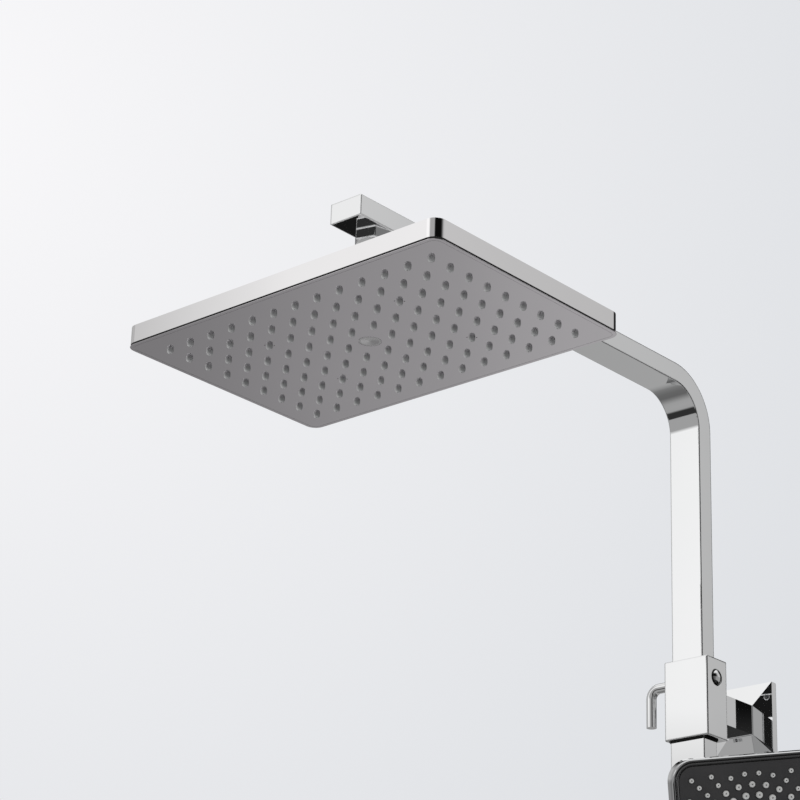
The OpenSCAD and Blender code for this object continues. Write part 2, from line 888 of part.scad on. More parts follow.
module head_shell() {
    foot = plate_top + rim_gap;
    w = head_length - 2 * shell_inset;
    d = head_depth - 2 * shell_inset;
    color("silver") translate([0, head_y, 0]) difference() {
        union() {
            translate([0, 0, foot]) rounded_slab(w, d, head_top - foot, head_corner_r);
            translate([0, 0, head_top]) cylinder(r1 = shell_cone_r, r2 = shell_cone_top_r, h = shell_cone_h);
        }
        translate([0, 0, foot - cut]) rounded_slab(w - 2 * head_wall, d - 2 * head_wall,
            head_top - head_wall - foot + cut, head_corner_r - head_wall);
        translate([0, 0, head_top - head_wall - cut])
            cylinder(r = post_r + gap_to_thread, h = head_wall + shell_cone_h + 2 * cut);
    }
}

module head_gasket() {
    w = head_length - 2 * gasket_inset;
    d = head_depth - 2 * gasket_inset;
    color("black") translate([0, head_y, plate_top]) difference() {
        rounded_slab(w, d, rim_gap, head_corner_r - gasket_inset);
        translate([0, 0, -cut])
            rounded_slab(w - 2 * gasket_w, d - 2 * gasket_w, rim_gap + 2 * cut, head_corner_r - gasket_w);
    }
}

module at_nozzles() {
    mid_c = (nozzle_columns - 1) / 2;
    mid_r = (nozzle_rows - 1) / 2;
    for (c = [0 : nozzle_columns - 1])
        for (r = [0 : nozzle_rows - 1])
            if (c != mid_c || r != mid_r)
                translate([(c - mid_c) * column_pitch, (r - mid_r) * row_pitch, 0]) children();
}

module inset_slab(inset, h) {
    rounded_slab(head_length - 2 * inset, head_depth - 2 * inset, h,
        max(head_corner_r - inset, min_corner_r));
}

module rim_groove(z) {
    translate([0, 0, z]) difference() {
        inset_slab(groove_inset, groove_d + cut);
        translate([0, 0, -cut]) inset_slab(groove_inset + groove_w, groove_d + 3 * cut);
    }
}

// A rounded slab whose sides slope in by its own height towards its foot.
module tapered_slab(w, d, h, r) {
    rotate([90, 0, 90]) translate([0, 0, r - w / 2]) linear_extrude(w - 2 * r)
        polygon([[h - d / 2, 0], [d / 2 - h, 0], [d / 2, h], [-d / 2, h]]);
    rotate([90, 0, 0]) translate([0, 0, r - d / 2]) linear_extrude(d - 2 * r)
        polygon([[h - w / 2, 0], [w / 2 - h, 0], [w / 2, h], [-w / 2, h]]);
    for (sx = [-1, 1])
        for (sy = [-1, 1])
            translate([sx * (w / 2 - r), sy * (d / 2 - r), 0]) cylinder(r1 = r - h, r2 = r, h = h);
}

module face_plate() {
    color("silver") translate([0, head_y, head_height]) difference() {
        union() {
            translate([0, 0, rim_break])
                rounded_slab(head_length, head_depth, face_plate_t - rim_break, head_corner_r);
            tapered_slab(head_length, head_depth, rim_break, head_corner_r);
        }
        at_nozzles() translate([0, 0, -cut])
            cylinder(r = nozzle_r + nozzle_clear, h = face_plate_t + 2 * cut, $fn = 32);
        translate([0, 0, -cut]) cylinder(r = centre_cap_r + nozzle_clear, h = cut + cap_t);
        translate([0, 0, -cut]) cylinder(r = screw_head_r + nozzle_clear, h = cut + cap_t + screw_head_t);
        translate([0, 0, -cut]) cylinder(r = centre_screw_r + fit, h = face_plate_t + 2 * cut);
        rim_groove(-cut);
        for (c = pin_columns)
            for (r = pin_rows)
                for (s = [-1, 1])
                    translate([c * column_pitch, r * row_pitch, -cut]) rotate([0, 0, pin_angle])
                        translate([s * pin_offset, 0, 0]) cylinder(r = pin_r, h = cut + pin_depth, $fn = 16);
    }
}

module nozzle_profile() {
    top = face_plate_t + mat_t;
    polygon([[nozzle_bore_r, -nozzle_length], [nozzle_tip_r, -nozzle_length],
        [nozzle_neck_r, -nozzle_collar], [nozzle_r, -nozzle_collar], [nozzle_r, top], [nozzle_bore_r, top]]);
}

module nozzle_mat() {
    color("darkslategray") translate([0, head_y, head_height]) {
        difference() {
            translate([0, 0, face_plate_t]) inset_slab(mat_inset, mat_t);
            at_nozzles() translate([0, 0, face_plate_t - cut])
                cylinder(r = nozzle_feed_r, h = mat_t + 2 * cut, $fn = 32);
            translate([0, 0, face_plate_t - cut]) cylinder(r = post_r + gap_to_thread, h = mat_t + 2 * cut);
        }
        at_nozzles() rotate_extrude($fn = 32) nozzle_profile();
    }
}

module centre_screw() {
    color("darkgray") translate([0, head_y, head_height + cap_t]) {
        cylinder(r = screw_head_r, h = screw_head_t);
        cylinder(r = centre_screw_r, h = face_plate_t - cap_t + post_floor - fit);
    }
}

module centre_cap() {
    color("dimgray") translate([0, head_y, head_height]) difference() {
        cylinder(r = centre_cap_r, h = cap_t);
        translate([0, 0, -fine_cut])
            cylinder(r1 = centre_cap_r - cap_lip, r2 = 1, h = cap_t - cap_floor + fine_cut);
    }
}

// Slider and holder

module on_rail() {
    translate([0, rail_y, slider_z]) children();
}

module slider_body() {
    color("silver") on_rail() difference() {
        union() {
            broken_box(slider_width, slider_depth, slider_height, block_break);
            rod_x(barrel_r, slider_width / 2 - cut, barrel_end);
        }
        translate([0, 0, -slider_height / 2 - cut]) slab(bush_out_w, bush_out_d, slider_height + 2 * cut);
        rod_x(knob_stem_r + run_gap, -slider_width / 2 - cut, 0);
        translate([-pad_outer - pad_travel - run_gap, -pad_w / 2 - run_gap, -pad_h / 2 - run_gap])
            cube([pad_outer, pad_w + 2 * run_gap, pad_h + 2 * run_gap]);
        rod_x(pivot_screw_r + fit, 0, barrel_end + cut);
    }
}

module slider_bushing() {
    color("dimgray") on_rail() difference() {
        translate([0, 0, bush_inset - slider_height / 2])
            slab(bush_out_w, bush_out_d, slider_height - 2 * bush_inset);
        translate([0, 0, -slider_height / 2 - cut])
            slab(rail_width + 2 * run_gap, rail_thickness + 2 * run_gap, slider_height + 2 * cut);
        translate([-bush_out_w / 2, 0, -pad_h / 2 - run_gap])
            slab(4 * bush_t, pad_w + 2 * run_gap, pad_h + 2 * run_gap);
    }
}

module slider_pad() {
    color("black") on_rail() translate([-pad_outer, -pad_w / 2, -pad_h / 2]) cube([pad_t, pad_w, pad_h]);
}

module slider_knob() {
    color("silver") on_rail() {
        rod_x(knob_stem_r, -knob_in - cut, -pad_outer - pad_travel - 0.1);
        difference() {
            rod_x(knob_r, knob_end, -knob_in);
            for (a = [0 : 30 : 330])
                rotate([a, 0, 0]) translate([0, 0, knob_r + flute_out])
                    rod_x(flute_r, knob_end + flute_end, -knob_in - flute_root);
        }
    }
}

module friction_washer() {
    color("black") on_rail() difference() {
        rod_x(holder_arm_r, barrel_end, arm_in);
        rod_x(pivot_screw_r + fit, 0, arm_in + cut);
    }
}

module holder_pivot_screw() {
    color("darkgray") on_rail() {
        rod_x(pivot_screw_r, slider_width / 2 - pivot_bite, pivot_head_x + cut);
        rod_x(pivot_head_r, pivot_head_x, pivot_head_x + pivot_head_t);
    }
}

// The handle's frame: z runs up the handle, the spray leaves towards -y.
module on_handle(turn) {
    on_rail() translate([holder_reach, 0, 0]) rotate([holder_lean, 0, 0]) rotate([0, 0, turn]) children();
}

module handle_cone(grow, foot, top) {
    slope = (cone_top_r - cone_foot_r) / (cone_drop + cone_rise);
    translate([0, 0, foot]) cylinder(r1 = cone_foot_r + slope * (foot + cone_drop) + grow,
        r2 = cone_foot_r + slope * (top + cone_drop) + grow, h = top - foot);
}

module holder_cup() {
    color("silver") difference() {
        union() {
            on_handle(0) translate([0, 0, -cup_height / 2]) cylinder(r = cup_r, h = cup_height);
            on_rail() rod_x(holder_arm_r, arm_in, holder_reach - cup_r / 3);
        }
        on_handle(0) handle_cone(insert_t + insert_gap + 0.1, -cup_height / 2 - cut, cup_height / 2 + cut);
        on_rail() rod_x(pivot_screw_r + run_gap, 0, holder_reach);
        on_rail() rod_x(pivot_head_r + run_gap, pivot_head_x, holder_reach);
        on_handle(0) translate([0, -cup_r, -cup_height]) slab(slot_w, 2 * cup_r, 2 * cup_height);
    }
}

module holder_insert() {
    color("dimgray") on_handle(0) difference() {
        union() {
            handle_cone(insert_t + insert_gap, bush_inset - cup_height / 2, cup_height / 2 + cut);
            translate([0, 0, cup_height / 2]) cylinder(r = insert_lip_r, h = insert_lip_t);
        }
        handle_cone(insert_gap, -cup_height / 2 - cut, cup_height / 2 + insert_lip_t + cut);
        translate([0, -cup_r, -cup_height]) slab(slot_w, 2 * cup_r, 2 * cup_height);
    }
}

// Handset

module on_face() {
    translate([0, -head_offset, handset_neck_length]) rotate([90 + handset_face_angle, 0, 0]) children();
}

// A slab inset from the handset head's outline.
module face_slab(inset, h) {
    rounded_slab(handset_width - 2 * inset, handset_height - 2 * inset, h, handset_corner_r - inset);
}

module handset_cone() {
    color("silver") on_handle(handset_turn) difference() {
        handle_cone(0, -cone_drop, cone_rise);
        translate([0, 0, cone_rise - spigot_depth - seam])
            cylinder(r = spigot_r + run_gap, h = spigot_depth + cut + seam);
        translate([0, 0, -cone_drop - cut])
            cylinder(r = connector_r + fit, h = cone_drop + cone_rise + 2 * cut);
    }
}

module handset_o_ring() {
    color("black") on_handle(handset_turn) translate([0, 0, cone_rise - oring_drop]) difference() {
        cylinder(r = spigot_r + fit, h = oring_w);
        translate([0, 0, -cut]) cylinder(r = spigot_r - oring_depth, h = oring_w + 2 * cut);
    }
}

module handset_shell() {
    back = handset_thickness / 2;
    inner = handset_height - 2 * shell_side;
    foot = cone_rise + seam;
    way_top = handset_neck_length - inner / 2 + way_reach;
    color("silver") on_handle(handset_turn) difference() {
        union() {
            translate([0, 0, cone_rise - spigot_depth]) cylinder(r = spigot_r, h = spigot_depth + cut);
            difference() {
                translate([0, 0, foot])
                    rounded_slab(handle_width, handle_depth, handset_neck_length - foot, handle_r);
                translate([0, handle_depth / 2, ramp_foot]) rotate([ramp_angle, 0, 0])
                    translate([-handle_width, 0, -handle_depth])
                        cube([2 * handle_width, 2 * handle_depth, 2 * ramp_reach]);
                on_face() translate([0, 0, cut - back]) slab(2 * handle_width, handset_height, ramp_reach);
            }
            on_face() translate([0, 0, -back]) face_slab(shell_inset, shell_t);
        }
        on_face() translate([0, 0, shell_floor - back]) face_slab(shell_side, ramp_reach);
        translate([0, 0, cone_rise - spigot_depth - cut])
            cylinder(r = handle_bore_r, h = way_top - cone_rise + spigot_depth);
        translate([0, 0, cone_rise - oring_drop]) difference() {
            cylinder(r = spigot_r + cut, h = oring_w);
            translate([0, 0, -cut]) cylinder(r = spigot_r - oring_depth, h = oring_w + 2 * cut);
        }
        translate([0, -handle_depth / 2 - cut, button_z])
            slab_y(button_w + 2 * run_gap, button_h + 2 * run_gap, button_t + run_gap + cut);
    }
}

// A block from y = 0 inwards, on its centre in x and z.
module slab_y(w, h, d) {
    translate([-w / 2, 0, -h / 2]) cube([w, d, h]);
}

module handset_trim() {
    front = handset_thickness / 2;
    color("silver") on_handle(handset_turn) on_face() difference() {
        translate([0, 0, front - trim_t]) face_slab(0, trim_t);
        translate([0, 0, front - face_recess - face_t]) face_slab(trim_w, trim_t);
        translate([0, 0, front - trim_t - cut]) face_slab(trim_w + trim_step, 2 * trim_t);
    }
}

module at_ring(k) {
    for (i = [0 : ring_counts[k] - 1])
        rotate([0, 0, 90 + ring_phase[k] + i * 360 / ring_counts[k]])
            translate([ring_radii[k], 0, 0]) children();
}

module at_corners() {
    for (q = [corner_turn, 180 - corner_turn, 180 + corner_turn, -corner_turn]) {
        rotate([0, 0, q]) translate([corner_r_out, 0, 0]) children();
        for (s = [-1 : 1])
            rotate([0, 0, q + s * corner_step]) translate([corner_r_in, 0, 0]) children();
    }
}

module handset_face() {
    top = handset_thickness / 2 - face_recess;
    color("black") on_handle(handset_turn) on_face() difference() {
        translate([0, 0, top - face_t]) face_slab(trim_w + 0.2, face_t);
        translate([0, 0, top - face_t - cut]) {
            for (k = [0 : len(ring_radii) - 1])
                at_ring(k) cylinder(r = ring_spot_r[k] + spot_gap, h = face_t + 2 * cut, $fn = 32);
            at_corners() cylinder(r = corner_spot_r + spot_gap, h = face_t + 2 * cut, $fn = 32);
        }
    }
}

module spot(r, foot) {
    rotate_extrude($fn = 48) polygon([[hs_bore_r, foot], [r, foot], [r, hs_nozzle_out - spot_break],
        [r - spot_break, hs_nozzle_out], [hs_bore_r, hs_nozzle_out]]);
}

module handset_nozzles() {
    top = handset_thickness / 2 - face_recess;
    depth = face_t + hs_mat_t;
    foot = spot_sunk - depth;
    color("lightgray") on_handle(handset_turn) on_face() translate([0, 0, top]) {
        difference() {
            translate([0, 0, -depth]) face_slab(trim_w + hs_mat_in, hs_mat_t);
            translate([0, 0, -depth - cut]) {
                for (k = [0 : len(ring_radii) - 1])
                    at_ring(k) cylinder(r = 2 * hs_bore_r, h = hs_mat_t + 2 * cut, $fn = 32);
                at_corners() cylinder(r = 2 * hs_bore_r, h = hs_mat_t + 2 * cut, $fn = 32);
            }
        }
        for (k = [0 : len(ring_radii) - 1])
            at_ring(k) spot(ring_spot_r[k], foot);
        at_corners() spot(corner_spot_r, foot);
    }
}

module handset_button() {
    color("gray") on_handle(handset_turn) translate([0, -handle_depth / 2 - button_proud, button_z]) {
        slab_y(button_w, button_h, button_t + button_proud - button_travel - 0.2);
    }
}

module handset_connector() {
    foot = cone_drop + connector_thread;
    color("goldenrod") on_handle(handset_turn) difference() {
        union() {
            translate([0, 0, -foot]) cylinder(r = thread_r, h = connector_thread);
            translate([0, 0, -cone_drop - cut]) cylinder(r = connector_r, h = connector_plug + cut);
        }
        translate([0, 0, -foot - cut]) cylinder(r = connector_bore_r, h = foot + 2 * cut);
    }
}

module handset_filter() {
    foot = cone_drop + connector_thread + filter_t;
    color("green") on_handle(handset_turn) translate([0, 0, -foot]) difference() {
        cylinder(r = thread_r - 1, h = filter_t);
        translate([0, 0, -cut]) cylinder(r = filter_bore_r, h = filter_t + 2 * cut);
    }
}

upper_flange_cover();
upper_flange_gasket();
upper_wall_plate();
upper_wall_screws();
inlet_neck();
inlet_connector();
inlet_seal();
neck_grub_screws();
diverter_body();
lever_gland();
spindle_end_cap();
riser_arm();
riser_seal();
riser_grub_screws();
lower_rail();
rail_seals();
rail_grub_screws();
lower_block();
lower_neck();
lower_flange_cover();
lower_flange_gasket();
lower_wall_plate();
lower_wall_screws();
hose_outlet();
hose_outlet_seal();
arm_nipple();
swivel_nut();
lever();
diverter_spool();
spool_o_rings();
ball_seat();
ball_liner();
ball_stem();
head_inlet_boss();
boss_lock_nut();
flow_washer();
head_shell();
head_gasket();
face_plate();
nozzle_mat();
centre_screw();
centre_cap();
slider_body();
slider_bushing();
slider_knob();
slider_pad();
holder_cup();
holder_insert();
friction_washer();
holder_pivot_screw();
handset_cone();
handset_o_ring();
handset_shell();
handset_trim();
handset_face();
handset_nozzles();
handset_button();
handset_connector();
handset_filter();
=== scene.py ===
import json
import math

import bmesh
import bpy
from mathutils import Matrix, Vector


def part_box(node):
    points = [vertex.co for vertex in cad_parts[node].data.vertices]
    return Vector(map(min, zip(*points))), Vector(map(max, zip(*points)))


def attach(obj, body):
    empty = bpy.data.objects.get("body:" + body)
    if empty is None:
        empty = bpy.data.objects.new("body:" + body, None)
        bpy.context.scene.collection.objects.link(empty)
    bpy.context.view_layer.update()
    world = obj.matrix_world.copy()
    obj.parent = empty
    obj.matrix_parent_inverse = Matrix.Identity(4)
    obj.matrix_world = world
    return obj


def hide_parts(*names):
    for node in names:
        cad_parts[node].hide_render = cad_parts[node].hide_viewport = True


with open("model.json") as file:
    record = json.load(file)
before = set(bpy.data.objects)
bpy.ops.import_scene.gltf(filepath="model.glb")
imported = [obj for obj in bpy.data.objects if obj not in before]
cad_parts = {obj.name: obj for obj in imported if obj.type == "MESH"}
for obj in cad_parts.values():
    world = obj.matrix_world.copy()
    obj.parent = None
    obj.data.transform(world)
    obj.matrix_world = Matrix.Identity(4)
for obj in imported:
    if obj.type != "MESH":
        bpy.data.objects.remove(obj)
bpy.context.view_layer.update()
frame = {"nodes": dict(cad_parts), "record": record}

# Sizes are in metres, apart from the outlines that go through in_metres, which are in millimetres
MM = 0.001

# Rain head: the grid of nozzles, the plate's corners and hole, the pin holes with their black discs of
# painted shade, and the rubber sheet behind
COLUMNS, ROWS = 13, 9
COLUMN_MARGIN, ROW_MARGIN = 0.0246, 0.0234
HEAD_CORNER = 0.009
HOLE_R, HOLE_DEPTH = 0.0087, 0.0011
PIN_COLUMNS, PIN_ROWS = (-3, 3), (-2, 2)
PIN_R, PIN_OFFSET, PIN_ANGLE = 0.0005, 0.00355, math.radians(42.0)
PIN_PROUD, PIN_SUNK = 0.00004, 0.0002
SHEET_OUTSIDE, SHEET_INSIDE = 0.009, 0.04
SHEET_THICKNESS, SHEET_CORNER = 0.0015, 0.042

# Column: the spindle's end cap, and the rail with the lips of its seals, whose near-black is partly
# painted shade
CAP_R, CAP_WALL_R, CAP_DOME_R, CAP_DEPTH = 0.006, 0.0062, 0.0093, 0.0084
RAIL_Y = -0.0767
LIP_WIDTH, LIP_DEPTH, LIP_CORNER = 0.0358, 0.0202, 0.003

# Holder and handset
SLIDER_Z = -0.2917
HOLDER_REACH, HOLDER_LEAN = 0.0724, math.radians(10.8)
HANDSET_TURN = math.radians(49.0)
HANDSET_WIDTH, HANDSET_HEIGHT, HANDSET_CORNER = 0.126, 0.133, 0.0175
HANDSET_THICKNESS = 0.015
FACE_UP, FACE_ANGLE = 0.165, math.radians(10.0)
FACE_FOOT = 0.011
FACE_OFFSET = (FACE_FOOT + HANDSET_HEIGHT / 2 * math.sin(FACE_ANGLE)
               - HANDSET_THICKNESS / 2 * math.cos(FACE_ANGLE))
FACE_RECESS = 0.0008

# The handset's nozzles: rings of (radius, count, phase in degrees, nozzle's radius), and for each corner
# (radius, step in degrees); from SLIT_FROM_R up a nozzle has a crossed slit, drawn as black bars of
# painted shade
SPOT_RINGS = ((0.0524, 29, 5.9, 0.0019), (0.0439, 25, 0.0, 0.0024), (0.0358, 21, 9.0, 0.0027),
              (0.028, 17, 0.0, 0.0024), (0.0202, 13, 0.0, 0.0019))
CORNER_SPOTS = ((0.0691, 0.0), (0.0609, -12.0), (0.0609, 0.0), (0.0609, 12.0))
SLIT_FROM_R = 0.0022
SLIT_LENGTH, SLIT_WIDTH, SLIT_THICKNESS, SLIT_LEVEL = 0.0017, 0.00032, 0.0002, 0.00132
SPOT_SHEET_CORNER = 0.031

# Pipe threads, with THREAD_ROWS rows of points in each turn and THREAD_SMOOTH in degrees; then the inlet's
# nose, the hexagon on the hose outlet and the handset's connector
THREAD_R, THREAD_PITCH, THREAD_DEPTH = 0.0104, 0.0018, 0.0009
THREAD_STEPS, THREAD_ROWS, THREAD_SMOOTH = 36, 6, 40.0
PIPE_BORE, INLET_NOSE_R = 0.006, 0.0096
HEX_LENGTH, HEX_R, HEX_END_R, HEX_CHAMFER = 0.005, 0.0122, 0.0108, 0.0008
CONE_DROP, CONNECTOR_THREAD, CONNECTOR_BORE = 0.024, 0.013, 0.005
CONNECTOR_NECK_R, CONNECTOR_NECK = 0.0068, 0.01
SEAT_GAP = 0.00008

# Steps round turned forms, up the cap's dome and in each rounded corner
NOZZLE_STEPS, CAP_STEPS, DOME_STEPS, HOLE_STEPS, PIN_STEPS, DIMPLE_STEPS = 20, 48, 12, 48, 12, 10
CORNER_STEPS = 10

# Edges: how far each finish is rounded, and the pieces whose polish shows a line along their edges
SOFT_EDGE = {"chrome": 0.0005, "head_chrome": 0.0004, "holder_chrome": 0.0005, "handset_chrome": 0.0006,
             "cap_satin": 0.0002, "button_grey": 0.0005, "screw_steel": 0.0002, "brass": 0.0002}
EDGE_SEGMENTS, EDGE_ANGLE = 3, math.radians(24.0)
EDGE_LINE = 0.0015
OWN_LOOK = {"riser_arm": "tube_chrome", "diverter_body": "tube_chrome", "lower_block": "tube_chrome",
            "lower_rail": "tube_chrome", "swivel_nut": "nut_chrome", "head_inlet_boss": "nut_chrome"}

# Camera, from the photograph
CAMERA_AT = Vector((1.17573, -1.74572, -0.57572))
CAMERA_RIGHT = Vector((0.749527, 0.661239, 0.031177))
CAMERA_UP = Vector((0.231011, -0.305411, 0.923774))
CAMERA_FORWARD = Vector((-0.620357, 0.685191, 0.381667))
CAMERA_LENS = 114.89
CAMERA_SENSOR = 36.0

# Stage: what lies in each direction, where a pair is the stretch over which one tone turns into the next
PALEST_WAY = (-0.7214, 0.5068, 0.4720)
ROOM_TONE, ZENITH_TONE, UNDER_TONE = 0.62, 0.85, 0.03
LOW_TO_LEVEL, LEVEL_TO_HIGH, HIGH_TO_ZENITH = (-0.32, -0.3), (0.2, 0.27), (0.62, 0.8)
UNDER_HEIGHT, UNDER_SIDE = (-0.59, -0.53), (-0.5, -0.3)
FLOOR_Z, FLOOR_R, FLOOR_STEPS = -1.95, 40.0, 96


# Node graphs

def rgba(value):
    """A colour from a grey level or from three channels."""
    return (*value, 1.0) if isinstance(value, tuple) else (value, value, value, 1.0)


class Graph:
    """Adds nodes to a tree; a socket given as a value is linked, anything else is set."""

    def __init__(self, tree):
        self.tree = tree

    def link(self, value, socket):
        self.tree.links.new(value, socket)

    def add(self, kind, settings=None, **options):
        node = self.tree.nodes.new("ShaderNode" + kind)
        for name, value in options.items():
            setattr(node, name, value)
        for key, value in (settings or {}).items():
            socket = node.inputs[key]
            if isinstance(value, bpy.types.NodeSocket):
                self.link(value, socket)
            else:
                socket.default_value = value
        return node

    def maths(self, operation, a, b=0.0):
        return self.add("Math", {0: a, 1: b}, operation=operation).outputs[0]

    def ramp(self, factor, stops):
        node = self.add("ValToRGB", {"Fac": factor})
        elements = node.color_ramp.elements
        while len(elements) < len(stops):
            elements.new(0.5)
        for element, (place, value) in zip(elements, stops):
            element.position = place
            element.color = rgba(value)
        return node.outputs[0]

    def range(self, value, low, high, to_low, to_high):
        settings = {0: value, 1: low, 2: high, 3: to_low, 4: to_high}
        return self.add("MapRange", settings, clamp=True).outputs[0]

    def blend(self, factor, a, b):
        return self.add("Mix", {0: factor, 6: a, 7: b}, data_type="RGBA").outputs[2]

    def noise(self, scale, detail=2.0, rough=0.5, vector=None):
        settings = {"Scale": scale, "Detail": detail, "Roughness": rough}
        settings["Vector"] = vector or self.add("TexCoord").outputs["Object"]
        return self.add("TexNoise", settings).outputs[0]

    def mapped(self, change, amount):
        """Object coordinates after a change of Location or Scale."""
        place = self.add("TexCoord").outputs["Object"]
        return self.add("Mapping", {"Vector": place, change: amount}).outputs[0]


def new_material(name):
    material = bpy.data.materials.new(name)
    material.use_nodes = True
    tree = material.node_tree
    return material, Graph(tree), tree.nodes["Principled BSDF"]


def finish_surface(g, shader, colour, gloss, relief, strength, distance):
    """Links a shader's colour and roughness, and gives it a bump, which it returns."""
    g.link(colour, shader.inputs["Base Color"])
    g.link(gloss, shader.inputs["Roughness"])
    bump = g.add("Bump", {"Height": relief, "Strength": strength, "Distance": distance})
    g.link(bump.outputs[0], shader.inputs["Normal"])
    return bump


# Materials

def chrome(name, seed, dull=(0.90, 0.905, 0.91), bright=(0.93, 0.933, 0.937), edge=0.0):
    """Polished chrome plate: faint clouding, a trace of waviness and edges that buffing has rounded."""
    material, g, shader = new_material(name)
    shader.inputs["Metallic"].default_value = 1.0
    place = g.mapped("Location", (seed, 0.3 * seed, 0.0))
    cloud = g.noise(9.0, 3.0, 0.5, place)
    bump = finish_surface(g, shader, g.ramp(cloud, [(0.3, dull), (0.7, bright)]),
                          g.range(cloud, 0.3, 0.7, 0.015, 0.035),
                          g.noise(14.0, 1.0, 0.4, place), strength=0.02, distance=0.0005)
    if edge:
        rounded = g.add("Bevel", {"Radius": edge}, samples=8)
        g.link(rounded.outputs[0], bump.inputs["Normal"])
    return material


def plastic(name, dark, light, rough, grain=900.0, bump=0.12, coat=0.0, specular=0.5):
    """Moulded plastic or rubber: mottled colour, uneven gloss and a fine grain."""
    material, g, shader = new_material(name)
    shader.inputs["Specular IOR Level"].default_value = specular
    shader.inputs["Coat Weight"].default_value = coat
    shader.inputs["Coat Roughness"].default_value = 0.15
    cloud = g.noise(35.0, 4.0, 0.6)
    fine = g.noise(grain, 3.0, 0.6)
    finish_surface(g, shader, g.ramp(cloud, [(0.25, dark), (0.75, light)]),
                   g.range(fine, 0.3, 0.7, rough - 0.05, rough + 0.06),
                   fine, strength=bump, distance=0.0002)
    return material


def machined(name, dark, light, rough, stretch=(1.0, 1.0, 1.0)):
    """Turned or rolled metal: streaks of tone and gloss along the tool's path."""
    material, g, shader = new_material(name)
    shader.inputs["Metallic"].default_value = 1.0
    streak = g.noise(900.0, 3.0, 0.7, g.mapped("Scale", stretch))
    cloud = g.noise(60.0, 3.0, 0.6)
    mixed = g.maths("ADD", g.maths("MULTIPLY", streak, 0.5), g.maths("MULTIPLY", cloud, 0.5))
    finish_surface(g, shader, g.ramp(mixed, [(0.3, dark), (0.7, light)]),
                   g.range(streak, 0.3, 0.7, rough - 0.07, rough + 0.1),
                   streak, strength=0.15, distance=0.0001)
    return material


def shaded_black(name, shade_tone, dark, light, rough):
    """Black plastic with painted shade: darker close to the pieces that stand on it, where ambient
    occlusion finds them.
    """
    material, g, shader = new_material(name)
    cloud = g.ramp(g.noise(35.0, 4.0, 0.6), [(0.25, dark), (0.75, light)])
    # Painted shade: ambient occlusion turns the colour towards the darkest tone next to the rim and the
    # nozzles
    near = g.add("AmbientOcclusion", {"Distance": 0.007}, samples=16).outputs["AO"]
    fine = g.noise(1200.0, 3.0, 0.6)
    finish_surface(g, shader, g.blend(g.range(near, 0.45, 0.95, 0.0, 1.0), rgba(shade_tone), cloud),
                   g.range(fine, 0.3, 0.7, rough - 0.05, rough + 0.06),
                   fine, strength=0.06, distance=0.0002)
    return material


def painted_opening_dark():
    """Painted shade for the dark inside a nozzle's slit or dimple, with a little grain."""
    material, g, shader = new_material("painted_opening_dark")
    g.link(g.ramp(g.noise(900.0), [(0.3, 0.012), (0.7, 0.03)]), shader.inputs["Base Color"])
    shader.inputs["Roughness"].default_value = 0.7
    return material


def chromes():
    """Polished chrome: one look for each group of pieces that shows its own tone or clouding, and a darker
    copy as painted shade on the handset's lip.
    """
    return {
        "chrome": chrome("chrome_column", 0.0),
        "tube_chrome": chrome("chrome_tube", 0.9, edge=EDGE_LINE),
        "nut_chrome": chrome("chrome_nut", 5.2, edge=EDGE_LINE),
        "cap_chrome": chrome("chrome_end_cap", 2.2),
        "head_chrome": chrome("chrome_head", 1.7, (0.905, 0.893, 0.897), (0.935, 0.922, 0.926)),
        "face_chrome": chrome("chrome_face", 6.3, (0.93, 0.895, 0.93), (0.95, 0.915, 0.95)),
        "holder_chrome": chrome("chrome_holder", 3.1),
        "handset_chrome": chrome("chrome_handset", 4.9),
        # A darker copy of the handset's chrome: painted shade on the lip
        "lip_chrome_shaded": chrome("chrome_handset_lip_shaded", 4.9, (0.66, 0.665, 0.67), (0.74, 0.745, 0.75)),
    }


def metals():
    """Satin, plain and nearly black metal; the nearly black one is painted shade on the end cap's wall."""
    return {
        "cap_satin": machined("satin_cap", (0.80, 0.79, 0.80), (0.90, 0.89, 0.90), 0.16),
        "band_grey": machined("smoked_chrome", (0.40, 0.40, 0.405), (0.48, 0.48, 0.485), 0.2),
        # Nearly black metal: painted shade on the end cap's side wall
        "cap_wall_shade": machined("chrome_painted_dark", 0.03, 0.05, 0.18),
        "brass": machined("brass", (0.60, 0.43, 0.19), (0.76, 0.58, 0.28), 0.28, (1, 4, 1)),
        "screw_steel": machined("zinc_screw", (0.50, 0.51, 0.52), (0.66, 0.66, 0.67), 0.32),
        "plate_steel": machined("plate_steel", (0.48, 0.49, 0.50), (0.6, 0.61, 0.62), 0.38, (1, 1, 8)),
    }


